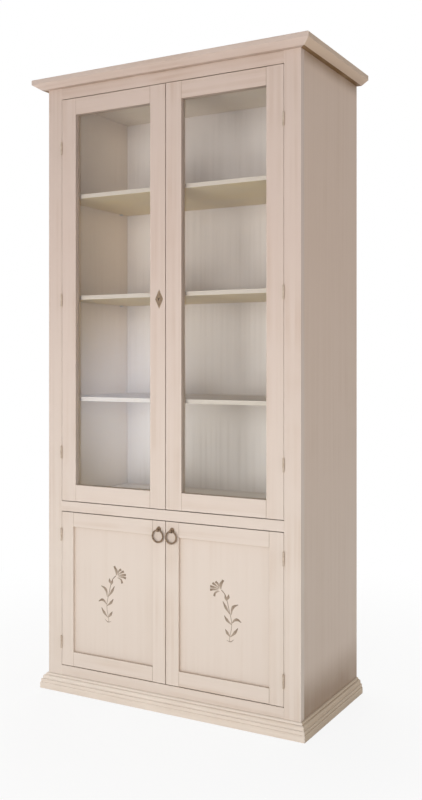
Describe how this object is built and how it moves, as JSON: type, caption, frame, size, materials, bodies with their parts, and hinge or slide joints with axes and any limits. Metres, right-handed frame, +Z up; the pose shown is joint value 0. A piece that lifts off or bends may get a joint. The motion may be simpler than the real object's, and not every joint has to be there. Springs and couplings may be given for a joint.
{
  "type": "bookcase with glass doors",
  "caption": "Tall painted bookcase with glazed doors over panelled doors, a moulded cornice and plinth, loose shelves, ring pulls and a lock.",
  "frame": {"origin": "on the floor, at the middle of the outline's width and depth", "axes": "+X to the right as seen from the front, +Y towards the back, +Z up"},
  "size_m": [1.036, 0.512, 2.1],
  "materials": {
    "painted_wood": "brushed cream paint over wood",
    "painted_interior": "cream paint, smooth",
    "clear_glass": "clear float glass",
    "aged_bronze": "aged dark bronze",
    "zinc_plated_steel": "zinc plated",
    "catch_plastic": "moulded"
  },
  "bodies": {
    "carcass": {"side_panel_left": "painted_wood", "side_panel_right": "painted_wood", "face_stile_left": "painted_wood", "face_stile_right": "painted_wood", "face_top_rail": "painted_wood", "face_mid_rail": "painted_wood", "face_bottom_rail": "painted_wood", "carcass_top": "painted_interior", "divider_shelf": "painted_interior", "carcass_floor": "painted_interior", "back_panel": "painted_interior", "cornice_front": "painted_wood", "cornice_left": "painted_wood", "cornice_right": "painted_wood", "top_panel": "painted_wood", "plinth_front": "painted_wood", "plinth_left": "painted_wood", "plinth_right": "painted_wood", "shelves": "painted_interior", "shelf_supports": "zinc_plated_steel", "frame_hinges": "aged_bronze", "door_magnets": "catch_plastic"},
    "upper_left_door": {"upper_left_hinge_stile": "painted_wood", "upper_left_lock_stile": "painted_wood", "upper_left_top_rail": "painted_wood", "upper_left_bottom_rail": "painted_wood", "upper_left_glass": "clear_glass", "upper_left_glazing_beads": "painted_wood", "upper_left_hinge_leaves": "aged_bronze", "escutcheon": "aged_bronze", "lock_case": "zinc_plated_steel"},
    "upper_right_door": {"upper_right_hinge_stile": "painted_wood", "upper_right_meeting_stile": "painted_wood", "upper_right_top_rail": "painted_wood", "upper_right_bottom_rail": "painted_wood", "upper_right_glass": "clear_glass", "upper_right_glazing_beads": "painted_wood", "upper_right_hinge_leaves": "aged_bronze", "bolt_guides": "zinc_plated_steel"},
    "lower_left_door": {"lower_left_hinge_stile": "painted_wood", "lower_left_meeting_stile": "painted_wood", "lower_left_top_rail": "painted_wood", "lower_left_bottom_rail": "painted_wood", "lower_left_panel": "painted_wood", "lower_left_hinge_leaves": "aged_bronze", "lower_left_catch_plate": "zinc_plated_steel", "lower_left_pull_rosette": "aged_bronze"},
    "lower_right_door": {"lower_right_hinge_stile": "painted_wood", "lower_right_meeting_stile": "painted_wood", "lower_right_top_rail": "painted_wood", "lower_right_bottom_rail": "painted_wood", "lower_right_panel": "painted_wood", "lower_right_hinge_leaves": "aged_bronze", "lower_right_catch_plate": "zinc_plated_steel", "lower_right_pull_rosette": "aged_bronze"},
    "lock_bolt": {"lock_bolt": "zinc_plated_steel"},
    "top_bolt": {"top_bolt": "zinc_plated_steel"},
    "bottom_bolt": {"bottom_bolt": "zinc_plated_steel"},
    "lower_left_ring": {"lower_left_ring": "aged_bronze"},
    "lower_right_ring": {"lower_right_ring": "aged_bronze"}
  },
  "joints": [
    {"name": "upper_left_door_swing", "type": "hinge", "parent": "carcass", "child": "upper_left_door", "pos_m": [-0.4195, -0.21745, 1.3395], "axis": [0, 0, -1], "range_deg": [0, 165]},
    {"name": "upper_right_door_swing", "type": "hinge", "parent": "carcass", "child": "upper_right_door", "pos_m": [0.4195, -0.21745, 1.3395], "axis": [0, 0, 1], "range_deg": [0, 165]},
    {"name": "lower_left_door_swing", "type": "hinge", "parent": "carcass", "child": "lower_left_door", "pos_m": [-0.4195, -0.21745, 0.35], "axis": [0, 0, -1], "range_deg": [0, 165]},
    {"name": "lower_right_door_swing", "type": "hinge", "parent": "carcass", "child": "lower_right_door", "pos_m": [0.4195, -0.21745, 0.35], "axis": [0, 0, 1], "range_deg": [0, 165]},
    {"name": "lock_bolt_slide", "type": "slide", "parent": "upper_left_door", "child": "lock_bolt", "axis": [1, 0, 0], "range_m": [0, 0.009]},
    {"name": "top_bolt_slide", "type": "slide", "parent": "upper_right_door", "child": "top_bolt", "axis": [0, 0, 1], "range_m": [0, 0.0215]},
    {"name": "bottom_bolt_slide", "type": "slide", "parent": "upper_right_door", "child": "bottom_bolt", "axis": [0, 0, -1], "range_m": [0, 0.0105]},
    {"name": "lower_left_ring_swing", "type": "hinge", "parent": "lower_left_door", "child": "lower_left_ring", "pos_m": [-0.02525, -0.2225, 0.5835], "axis": [-1, 0, 0], "range_deg": [0, 100]},
    {"name": "lower_right_ring_swing", "type": "hinge", "parent": "lower_right_door", "child": "lower_right_ring", "pos_m": [0.02525, -0.2225, 0.5835], "axis": [-1, 0, 0], "range_deg": [0, 100]}
  ]
}
